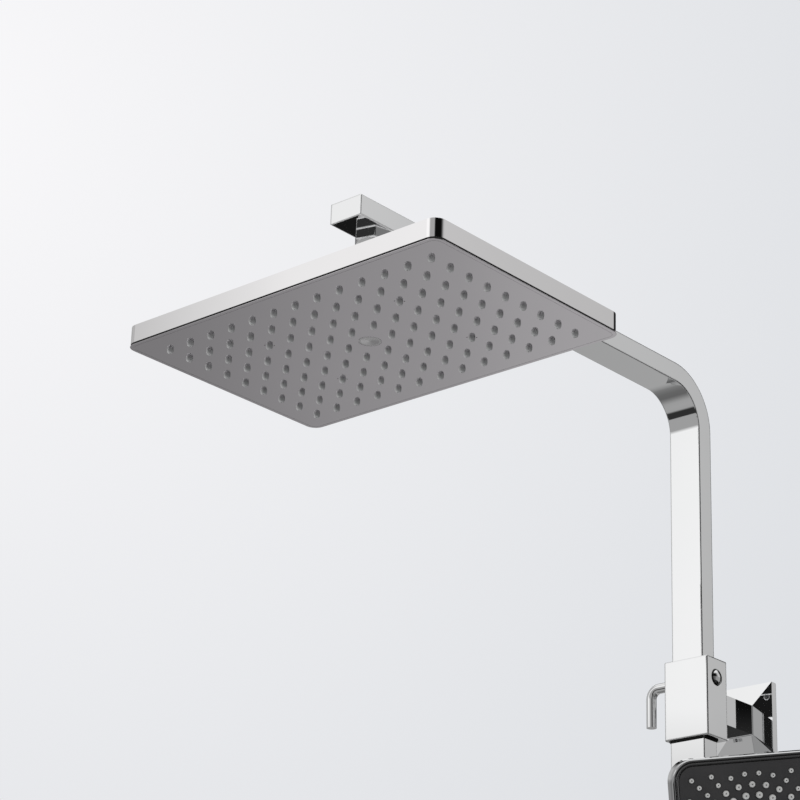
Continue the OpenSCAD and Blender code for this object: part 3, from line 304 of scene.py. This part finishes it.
def plastics():
    """Rubber and moulded plastic."""
    return {
        "nozzle_rubber": plastic("nozzle_rubber", 0.19, 0.23, 0.45, grain=600, bump=0.1),
        "handset_nozzle_rubber": plastic("spot_rubber", (0.36, 0.36, 0.355), (0.44, 0.44, 0.43), 0.5,
                                         grain=700, bump=0.1),
        "black_rubber": plastic("black_rubber", 0.018, 0.03, 0.6, grain=800, bump=0.15, specular=0.12),
        # Near-black rubber with little shine: real seal lips that also carry painted shade under the
        # blocks
        "seal_shade_black": plastic("seal_shade_black", 0.003, 0.006, 0.7, grain=800, bump=0.1, specular=0.04),
        # Black of painted shade for the nozzles' slits and dimples
        "painted_opening_black": painted_opening_dark(),
        # The handset's face: 0.006 is the painted shade next to the rim and the nozzles
        "handset_black": shaded_black("face_black", 0.006, (0.028, 0.0275, 0.0285),
                                      (0.036, 0.035, 0.036), 0.42),
        "button_grey": plastic("button_gloss", (0.16, 0.16, 0.165), (0.19, 0.19, 0.195), 0.22,
                               bump=0.05, coat=0.3),
        "white_plastic": plastic("acetal", (0.72, 0.72, 0.70), (0.80, 0.80, 0.78), 0.35,
                                 grain=700, bump=0.05),
        "grey_plastic": plastic("nylon_grey", (0.06, 0.06, 0.063), (0.085, 0.085, 0.088), 0.45, bump=0.15),
        "filter_green": plastic("filter_mesh", (0.05, 0.16, 0.07), (0.08, 0.24, 0.11), 0.6,
                                grain=1500, bump=0.5),
    }


def soften(obj, width):
    """Rounds the sharp edges of a body a little, so that they catch the light."""
    bevel = obj.modifiers.new("edges", "BEVEL")
    bevel.width = width
    bevel.segments = EDGE_SEGMENTS
    bevel.limit_method = "ANGLE"
    bevel.angle_limit = EDGE_ANGLE
    bevel.use_clamp_overlap = True
    bevel.harden_normals = True


def dress_cad(made):
    """Gives each CAD node its material, and softens its sharp edges."""
    slot_of = {part["node"]: part["material_slot"] for part in frame["record"]["subparts"]}
    for name, node in frame["nodes"].items():
        slot = slot_of[name]
        node.data.materials.clear()
        node.data.materials.append(made[OWN_LOOK.get(name, slot)])
        if slot in SOFT_EDGE:
            soften(node, SOFT_EDGE[slot])


# Building blocks

def new_object(name, bm, material, body, smooth=35.0):
    """Turns a bmesh into an object that rides one body of the part."""
    bmesh.ops.recalc_face_normals(bm, faces=bm.faces)
    mesh = bpy.data.meshes.new(name)
    bm.to_mesh(mesh)
    bm.free()
    mesh.shade_smooth()
    mesh.set_sharp_from_angle(angle=math.radians(smooth))
    mesh.materials.append(material)
    obj = bpy.data.objects.new(name, mesh)
    bpy.context.scene.collection.objects.link(obj)
    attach(obj, body)
    return obj


def shift(x=0.0, y=0.0, z=0.0):
    """The placing matrix of a move."""
    return Matrix.Translation(Vector((x, y, z)))


def in_metres(outline):
    """An outline's points from millimetres."""
    return [(across * MM, up * MM) for across, up in outline]


def circle(radius, steps):
    """The corners of a regular polygon, or its centre alone where the radius is nil."""
    if radius == 0.0:
        return [(0.0, 0.0)]
    turns = [2 * math.pi * k / steps for k in range(steps)]
    return [(radius * math.cos(turn), radius * math.sin(turn)) for turn in turns]


def rounded_loop(width, height, radius):
    """The corners of a rounded rectangle in the x-y plane, anticlockwise."""
    points = []
    for quarter, (sx, sy) in enumerate(((1, 1), (-1, 1), (-1, -1), (1, -1))):
        for k in range(CORNER_STEPS + 1):
            turn = math.pi / 2 * (quarter + k / CORNER_STEPS)
            points.append((sx * (width / 2 - radius) + radius * math.cos(turn),
                           sy * (height / 2 - radius) + radius * math.sin(turn)))
    return points


def ring(bm, place, points, level):
    """Adds one vertex for each point, at a height of a placing matrix."""
    return [bm.verts.new(place @ Vector((x, y, level))) for x, y in points]


def join(bm, rings):
    """Adds the faces between each ring and the next; a ring may be a lone point."""
    for low, high in zip(rings, rings[1:]):
        for k in range(max(len(low), len(high))):
            corners = [low[k % len(low)], low[(k + 1) % len(low)],
                       high[(k + 1) % len(high)], high[k % len(high)]]
            corners = list(dict.fromkeys(corners))
            if len(corners) > 2:
                bm.faces.new(corners)


def turned(bm, profile, place, steps):
    """Adds a turned body: (radius, height) pairs swung about the z axis of a placing matrix."""
    join(bm, [ring(bm, place, circle(radius, steps), height) for radius, height in profile])


def tube(bm, place, bore, radius, start, end, steps):
    """Adds a length of pipe along the z axis of a placing matrix."""
    turned(bm, [(bore, start), (radius, start), (radius, end), (bore, end), (bore, start)], place, steps)


def loops_round(bm, profile, width, height, radius, place):
    """Adds loops round a rounded rectangle, one for each (inset, height) pair."""
    return [ring(bm, place, rounded_loop(width - 2 * inset, height - 2 * inset, radius - inset), level)
            for inset, level in profile]


def rim(bm, profile, width, height, radius, place):
    """Adds a closed band round a rounded rectangle: the profile is (inset, height) pairs."""
    loops = loops_round(bm, profile, width, height, radius, place)
    join(bm, loops + loops[:1])


def thread(bm, place, bore, length):
    """Adds a bored tube with a helical thread, which runs in and out over one turn at each end."""
    rows = int(length / THREAD_PITCH * THREAD_ROWS)
    turns = [2 * math.pi * k / THREAD_STEPS for k in range(THREAD_STEPS)]
    rings = []
    for row in range(rows + 1):
        z = length * row / rows
        height = min(1.0, row / THREAD_ROWS, (rows - row) / THREAD_ROWS)
        points = []
        for turn in turns:
            phase = (z / THREAD_PITCH - turn / (2 * math.pi)) % 1.0
            radius = THREAD_R - THREAD_DEPTH * (1.0 - height * (1.0 - abs(2.0 * phase - 1.0)))
            points.append((radius * math.cos(turn), radius * math.sin(turn)))
        rings.append(ring(bm, place, points, z))
    rings += [ring(bm, place, circle(bore, THREAD_STEPS), level) for level in (length, 0.0)]
    join(bm, rings + rings[:1])


# Rain head

def face_plate():
    """The frame in the middle of the plate's lower side, z up, with the plate's width and depth."""
    low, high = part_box("face_plate")
    centre = (low + high) / 2
    return shift(centre.x, centre.y, low.z), high.x - low.x, high.y - low.y


def grid_pitch(width, depth):
    """The distances between columns and between rows of nozzles."""
    return (width - 2 * COLUMN_MARGIN) / (COLUMNS - 1), (depth - 2 * ROW_MARGIN) / (ROWS - 1)


def rain_nozzles(made):
    """Silicone nozzles, each a tapered barrel with a domed tip and a small outlet, on one rubber sheet."""
    place, width, depth = face_plate()
    column, row = grid_pitch(width, depth)
    profile = in_metres([(0.0, -2.6), (0.4, -2.6), (0.5, -3.25), (1.0, -3.3), (1.6, -3.1), (2.05, -2.7),
                         (2.35, -2.1), (2.5, -1.4), (2.58, -0.6), (2.6, 0.0), (2.6, 1.7), (0.0, 1.7)])
    bm = bmesh.new()
    for c in range(COLUMNS):
        for r in range(ROWS):
            dx, dy = c - (COLUMNS - 1) / 2, r - (ROWS - 1) / 2
            if dx or dy:
                turned(bm, profile, place @ shift(dx * column, dy * row), NOZZLE_STEPS)
    low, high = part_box("face_plate")
    foot, top = high.z - low.z, high.z - low.z + SHEET_THICKNESS
    sheet = [(SHEET_OUTSIDE, foot), (SHEET_OUTSIDE, top), (SHEET_INSIDE, top), (SHEET_INSIDE, foot)]
    rim(bm, sheet, width, depth, SHEET_CORNER, place)
    obj = new_object("rain_nozzles", bm, made["nozzle_rubber"], "rain_head")
    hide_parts("nozzle_mat")


def face_sheet(made):
    """The rain head's polished face: a lip outside a fine groove, round a shallow hole in the middle."""
    place, width, depth = face_plate()
    profile = in_metres([(3.2, 0.0), (3.2, 0.35), (2.95, 0.35), (2.95, 0.0), (0.16, 0.0), (0.02, 0.12),
                         (0.02, 0.26), (1.1, 0.3), (1.1, 1.5)])
    bm = bmesh.new()
    loops = loops_round(bm, profile, width, depth, HEAD_CORNER, place)
    join(bm, loops)
    bm.faces.new(loops[-1])
    hole = [ring(bm, place, circle(HOLE_R, HOLE_STEPS), level) for level in (0.0, HOLE_DEPTH)]
    join(bm, hole)
    bm.faces.new(hole[1])
    border = [bm.edges.get((loop[k], loop[(k + 1) % len(loop)]))
              for loop in (loops[0], hole[0]) for k in range(len(loop))]
    bmesh.ops.triangle_fill(bm, use_beauty=True, edges=border)
    obj = new_object("rain_face", bm, made["face_chrome"], "rain_head")
    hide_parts("face_plate")


def face_painted_shade(made):
    """Painted shade: a black band in the recess above the face's edge, and black discs for the dark of the
    pin holes beside four of the nozzles.
    """
    place, width, depth = face_plate()
    column, row = grid_pitch(width, depth)
    # Black rubber filling the recess, as painted shade
    recess = in_metres([(1.05, 0.3), (1.05, 1.85), (3.0, 1.85), (3.0, 0.3)])
    bm = bmesh.new()
    rim(bm, recess, width, depth, HEAD_CORNER, place)
    # A black disc standing a little proud in each pin hole, as painted shade
    pin = [(0.0, -PIN_PROUD), (PIN_R, -PIN_PROUD), (PIN_R, PIN_SUNK), (0.0, PIN_SUNK)]
    for c in PIN_COLUMNS:
        for r in PIN_ROWS:
            for side in (-1, 1):
                x = c * column + side * PIN_OFFSET * math.cos(PIN_ANGLE)
                y = r * row + side * PIN_OFFSET * math.sin(PIN_ANGLE)
                turned(bm, pin, place @ shift(x, y), PIN_STEPS)
    new_object("rain_face_painted_shade", bm, made["black_rubber"], "rain_head")


# Column

def end_cap(made):
    """The spindle's end cap: a polished button with a domed end in a wall painted nearly black as shade.
    """
    low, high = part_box("spindle_end_cap")
    centre = (low + high) / 2
    place = shift(high.x, centre.y, centre.z) @ Matrix.Rotation(math.pi / 2, 4, "Y")
    side = [(CAP_R, -CAP_DEPTH), (CAP_R, -0.0021), (0.0061, -0.00205), (CAP_WALL_R, -0.0023),
            (CAP_WALL_R, -CAP_DEPTH), (CAP_R, -CAP_DEPTH)]
    bm = bmesh.new()
    turned(bm, side, place, CAP_STEPS)
    new_object("end_cap_wall", bm, made["cap_wall_shade"], "column")

    radii = [CAP_R * k / DOME_STEPS for k in range(DOME_STEPS + 1)]
    dome = [(radius, math.sqrt(CAP_DOME_R ** 2 - radius ** 2) - CAP_DOME_R) for radius in radii]
    bm = bmesh.new()
    turned(bm, dome + [(CAP_R, -CAP_DEPTH), (0.0, -CAP_DEPTH)], place, CAP_STEPS)
    obj = new_object("end_cap_domed", bm, made["cap_chrome"], "column")
    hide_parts("spindle_end_cap")


def rail_seal_shade(made):
    """The black lips of the two rail seals, where the rail enters the blocks; their near-black with little
    shine is also painted shade under the blocks.
    """
    section = in_metres([(0.0, 0.0), (0.0, 1.6), (0.3, 1.9), (1.6, 1.9), (1.6, 0.0)])
    upper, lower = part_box("diverter_body")[0].z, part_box("lower_block")[1].z
    bm = bmesh.new()
    for level, way in ((upper, -1.0), (lower, 1.0)):
        place = shift(0.0, RAIL_Y, level) @ Matrix.Diagonal((1.0, 1.0, way, 1.0))
        rim(bm, section, LIP_WIDTH, LIP_DEPTH, LIP_CORNER, place)
    new_object("rail_seal_lips_and_shade", bm, made["seal_shade_black"], "column")


# Handset

def handle_frame():
    """The frame on the handset's axis, leaning and turned in its holder."""
    return (shift(HOLDER_REACH, RAIL_Y, SLIDER_Z) @ Matrix.Rotation(HOLDER_LEAN, 4, "X")
            @ Matrix.Rotation(HANDSET_TURN, 4, "Z"))


def face_frame():
    """The frame in the middle of the handset's head, z out of its face."""
    lean = Matrix.Rotation(math.pi / 2 + FACE_ANGLE, 4, "X")
    return handle_frame() @ shift(0.0, -FACE_OFFSET, FACE_UP) @ lean


def handset_rim(made):
    """The head's front edge: a rounded chrome lip darkened with painted shade, a black shadow gap and a
    dark crowned band.
    """
    place = face_frame()
    lip = [(0.0, 1.5), (0.0, 5.6), (0.15, 6.3), (0.55, 6.95), (1.15, 7.35), (1.7, 7.45), (2.1, 7.3),
           (2.2, 6.9), (2.2, 5.6), (4.4, 5.2), (4.4, 1.5)]
    band = [(2.85, 4.9), (2.85, 6.7), (3.0, 6.95), (3.6, 7.15), (4.4, 7.15), (4.95, 6.95), (5.1, 6.7),
            (5.1, 4.9)]
    gap = [(2.1, 4.8), (2.1, 5.75), (5.6, 5.75), (5.6, 4.8)]
    for name, profile, look, slot in (("handset_lip", lip, "lip_chrome_shaded", "handset_chrome"),
                                      ("handset_band", band, "band_grey", "handset_chrome"),
                                      ("handset_gap", gap, "black_rubber", "black_rubber")):
        bm = bmesh.new()
        rim(bm, in_metres(profile), HANDSET_WIDTH, HANDSET_HEIGHT, HANDSET_CORNER, place)
        obj = new_object(name, bm, made[look], "handset")
        if name == "handset_lip":
            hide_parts("handset_trim")


def spot_places():
    """Where the handset's nozzles stand on its face, with each one's radius."""
    for radius, count, phase, size in SPOT_RINGS:
        for k in range(count):
            turn = math.radians(90.0 + phase + 360.0 * k / count)
            yield radius * math.cos(turn), radius * math.sin(turn), size
    lean = math.degrees(math.atan2(HANDSET_HEIGHT, HANDSET_WIDTH))
    for corner in (lean, 180.0 - lean, 180.0 + lean, -lean):
        for radius, step in CORNER_SPOTS:
            turn = math.radians(corner + step)
            yield radius * math.cos(turn), radius * math.sin(turn), SPOT_RINGS[0][3]


def spot_profile(size, slit):
    """A soft nozzle with a domed edge round a dimple, which is shallow under a slit."""
    middle = [(0.0, 1.3), (0.32, 1.3), (0.48, 1.36)] if slit else [(0.0, 0.7), (0.32, 0.75), (0.48, 1.2)]
    edge = size / MM
    return in_metres(middle + [(0.75, 1.38), (edge - 0.75, 1.42), (edge - 0.28, 1.2), (edge - 0.06, 0.8),
                               (edge, 0.2), (edge, -2.4), (0.0, -2.4)])


def spot_opening(bm, spot, slit):
    """Painted shade for a nozzle's opening: two crossed black bars for the slits, or a black plug in the
    dimple.
    """
    if not slit:
        turned(bm, in_metres([(0.0, 0.6), (0.5, 0.6), (0.5, 1.24), (0.0, 1.24)]), spot, DIMPLE_STEPS)
        return
    for lean in (0.25 * math.pi, 0.75 * math.pi):
        bar = spot @ Matrix.Rotation(lean, 4, "Z") @ shift(z=SLIT_LEVEL)
        bar = bar @ Matrix.Diagonal((SLIT_LENGTH, SLIT_WIDTH, SLIT_THICKNESS, 1.0))
        bmesh.ops.create_cube(bm, size=1.0, matrix=bar)


def handset_spots(made):
    """The handset's nozzles, moulded on one rubber sheet behind its face, with black painted shade in
    their openings.
    """
    place = face_frame() @ shift(z=HANDSET_THICKNESS / 2 - FACE_RECESS)
    bm = bmesh.new()
    opening_shade_bm = bmesh.new()
    for x, y, size in spot_places():
        spot = place @ shift(x, y)
        slit = size >= SLIT_FROM_R
        spot_opening(opening_shade_bm, spot, slit)
        turned(bm, spot_profile(size, slit), spot, NOZZLE_STEPS)
    sheet = in_metres([(8.0, -3.2), (8.0, -2.0), (30.0, -2.0), (30.0, -3.2)])
    rim(bm, sheet, HANDSET_WIDTH, HANDSET_HEIGHT, SPOT_SHEET_CORNER, place)
    obj = new_object("handset_spray_nozzles", bm, made["handset_nozzle_rubber"], "handset")
    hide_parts("handset_nozzles")
    new_object("handset_spray_opening_shade", opening_shade_bm, made["painted_opening_black"], "handset")


# Threads

def inlet_thread(made):
    """The inlet's tail, threaded for the wall's pipe."""
    low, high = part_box("inlet_connector")
    along = Matrix.Rotation(-math.pi / 2, 4, "X")
    bm = bmesh.new()
    thread(bm, along, PIPE_BORE, high.y)
    tube(bm, along, PIPE_BORE, INLET_NOSE_R, 0.0, low.y, THREAD_STEPS)
    obj = new_object("inlet_thread", bm, made["brass"], "column", THREAD_SMOOTH)
    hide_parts("inlet_connector")


def outlet_thread(made):
    """The hose outlet: a thread under a hexagon whose lower end is chamfered."""
    low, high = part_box("hose_outlet")
    place = shift(0.0, RAIL_Y, low.z)
    top = high.z - low.z
    neck = top - HEX_LENGTH
    bm = bmesh.new()
    thread(bm, place, PIPE_BORE, neck)
    hexagon = [(PIPE_BORE, neck), (HEX_END_R, neck), (HEX_R, neck + HEX_CHAMFER), (HEX_R, top),
               (PIPE_BORE, top), (PIPE_BORE, neck)]
    turned(bm, hexagon, place, 6)
    obj = new_object("hose_outlet_thread", bm, made["chrome"], "column", THREAD_SMOOTH)
    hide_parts("hose_outlet")


def handset_thread(made):
    """The handset's foot, threaded for the hose, with a plain neck in the cone."""
    place = handle_frame() @ shift(z=-CONE_DROP - CONNECTOR_THREAD + SEAT_GAP)
    top = CONNECTOR_THREAD - SEAT_GAP
    bm = bmesh.new()
    thread(bm, place, CONNECTOR_BORE, top)
    tube(bm, place, CONNECTOR_BORE, CONNECTOR_NECK_R, top, top + CONNECTOR_NECK, THREAD_STEPS)
    obj = new_object("handset_thread", bm, made["brass"], "handset", THREAD_SMOOTH)
    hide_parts("handset_connector")


# Stage

def around_ramp(g, around, pairs):
    """A tone for each direction round the column, from (degrees, tone) pairs."""
    return g.ramp(around, [((degrees + 180.0) / 360.0, value) for degrees, value in pairs])


def studio_colour(g):
    """What polished metal sees of the studio: pale panels and dark gaps, by direction."""
    way = g.add("TexCoord").outputs["Generated"]
    parts = g.add("SeparateXYZ", {0: way}).outputs
    turn = g.maths("ARCTAN2", parts[1], parts[0])
    around = g.maths("ADD", g.maths("DIVIDE", turn, 2 * math.pi), 0.5)
    high = around_ramp(g, around, [
        (-180, 0.42), (-160, 0.50), (-141, 0.42), (-135, 0.88), (-126, 0.93), (-119, 1.02), (-106, 1.0),
        (-101, 0.86), (-93, 0.39), (-64, 0.38), (-58, 0.40), (-52, 0.07), (-48, 0.004), (2, 0.004),
        (12, 0.06), (22, 0.30), (32, 0.52), (46, 0.60), (56, 0.49), (62, 0.45), (67, 0.01),
        (142, 0.01), (152, 0.45), (180, 0.42)])
    level = around_ramp(g, around, [
        (-180, 0.2), (-155, 0.36), (-95, 0.37), (-62, 0.34), (-50, 0.13), (-8, 0.11), (10, 0.30),
        (56, 0.36), (66, 0.02), (112, 0.02), (122, 0.30), (150, 0.24), (180, 0.2)])
    low = around_ramp(g, around, [
        (-180, 0.13), (-168, 0.2), (-150, 0.35), (-138, 0.37), (-125, 0.34), (-62, 0.30), (-38, 0.1),
        (-8, 0.03), (20, 0.03), (40, 0.004), (64, 0.004), (76, 0.3), (118, 0.42), (128.4, 0.36),
        (131, 0.295), (133.5, 0.27), (137.4, 0.205), (146, 0.17), (158, 0.14), (180, 0.13)])
    under = g.maths("MULTIPLY", g.range(parts[2], *UNDER_HEIGHT, 0.0, 1.0),
                    g.range(parts[1], *UNDER_SIDE, 1.0, 0.0))
    low = g.blend(under, low, rgba(UNDER_TONE))
    colour = g.blend(g.range(parts[2], *LOW_TO_LEVEL, 0.0, 1.0), low, level)
    colour = g.blend(g.range(parts[2], *LEVEL_TO_HIGH, 0.0, 1.0), colour, high)
    return g.blend(g.range(parts[2], *HIGH_TO_ZENITH, 0.0, 1.0), colour, rgba(ZENITH_TONE))


def backdrop_colour(g):
    """The photograph's plain backdrop: palest behind the top left, a little darker away from there."""
    way = g.add("TexCoord").outputs["Generated"]
    dot = g.add("VectorMath", {0: way, 1: PALEST_WAY}, operation="DOT_PRODUCT").outputs["Value"]
    angle = g.maths("ARCCOSINE", dot)
    return g.ramp(g.maths("DIVIDE", angle, math.pi), [
        (0.0, (0.956, 0.949, 0.964)), (0.056, (0.855, 0.859, 0.880)), (0.111, (0.762, 0.776, 0.803)),
        (0.167, (0.678, 0.702, 0.735)), (0.4, (0.62, 0.64, 0.67)), (1.0, (0.60, 0.62, 0.65))])


def make_world():
    """The backdrop for the camera, the studio for polished metal and an even grey for everything else."""
    world = bpy.data.worlds.new("studio")
    bpy.context.scene.world = world
    world.use_nodes = True
    world.cycles.sampling_method = "NONE"
    g = Graph(world.node_tree)
    world.node_tree.nodes.clear()
    path = g.add("LightPath").outputs
    mirror = g.maths("MAXIMUM", path["Is Glossy Ray"], path["Is Transmission Ray"])
    colour = g.blend(mirror, rgba(ROOM_TONE), studio_colour(g))
    colour = g.blend(path["Is Camera Ray"], colour, backdrop_colour(g))
    background = g.add("Background", {"Color": colour, "Strength": 1.0})
    g.link(background.outputs[0], g.add("OutputWorld").inputs["Surface"])


def make_floor():
    """A pale floor far below the column, which polished metal doesn't see."""
    mesh = bpy.data.meshes.new("floor")
    bm = bmesh.new()
    bmesh.ops.create_circle(bm, cap_ends=True, segments=FLOOR_STEPS, radius=FLOOR_R)
    bm.to_mesh(mesh)
    bm.free()
    floor = bpy.data.objects.new("floor", mesh)
    floor.location.z = FLOOR_Z
    bpy.context.scene.collection.objects.link(floor)
    material, g, shader = new_material("floor_pale")
    cloud = g.noise(1.3, 3.0, 0.5)
    pale = g.ramp(cloud, [(0.3, (0.90, 0.91, 0.925)), (0.7, (0.92, 0.93, 0.94))])
    g.link(pale, shader.inputs["Base Color"])
    shader.inputs["Roughness"].default_value = 0.8
    mesh.materials.append(material)
    floor.visible_glossy = False


def lamp(name, place, aim, size, power):
    """A square soft box that polished metal doesn't see."""
    data = bpy.data.lights.new(name, "AREA")
    data.shape = "SQUARE"
    data.size = size
    data.energy = power
    obj = bpy.data.objects.new(name, data)
    obj.location = place
    obj.rotation_mode = "QUATERNION"
    obj.rotation_quaternion = (Vector(aim) - Vector(place)).to_track_quat("-Z", "Y")
    obj.visible_glossy = False
    bpy.context.scene.collection.objects.link(obj)


def make_camera():
    """The photograph's camera."""
    data = bpy.data.cameras.new("camera")
    data.lens = CAMERA_LENS
    data.sensor_width = CAMERA_SENSOR
    data.clip_start, data.clip_end = 0.05, 100.0
    camera = bpy.data.objects.new("camera", data)
    turn = Matrix((CAMERA_RIGHT, CAMERA_UP, -CAMERA_FORWARD)).transposed().to_4x4()
    camera.matrix_world = Matrix.Translation(CAMERA_AT) @ turn
    bpy.context.scene.collection.objects.link(camera)
    bpy.context.scene.camera = camera


made = {**chromes(), **metals(), **plastics()}
dress_cad(made)
rain_nozzles(made)
face_sheet(made)
face_painted_shade(made)
end_cap(made)
inlet_thread(made)
outlet_thread(made)
handset_thread(made)
rail_seal_shade(made)
handset_rim(made)
handset_spots(made)
make_world()
make_floor()
lamp("key", place=(-1.6, -2.4, 2.0), aim=(0.0, -0.2, 0.0), size=1.8, power=90.0)
lamp("fill", place=(2.4, -1.2, 0.6), aim=(0.0, -0.2, 0.0), size=1.8, power=25.0)
lamp("low", place=(-1.7, -1.2, -0.5), aim=(0.0, -0.45, 0.18), size=0.8, power=50.0)
make_camera()
bpy.context.scene.view_settings.view_transform = "Standard"
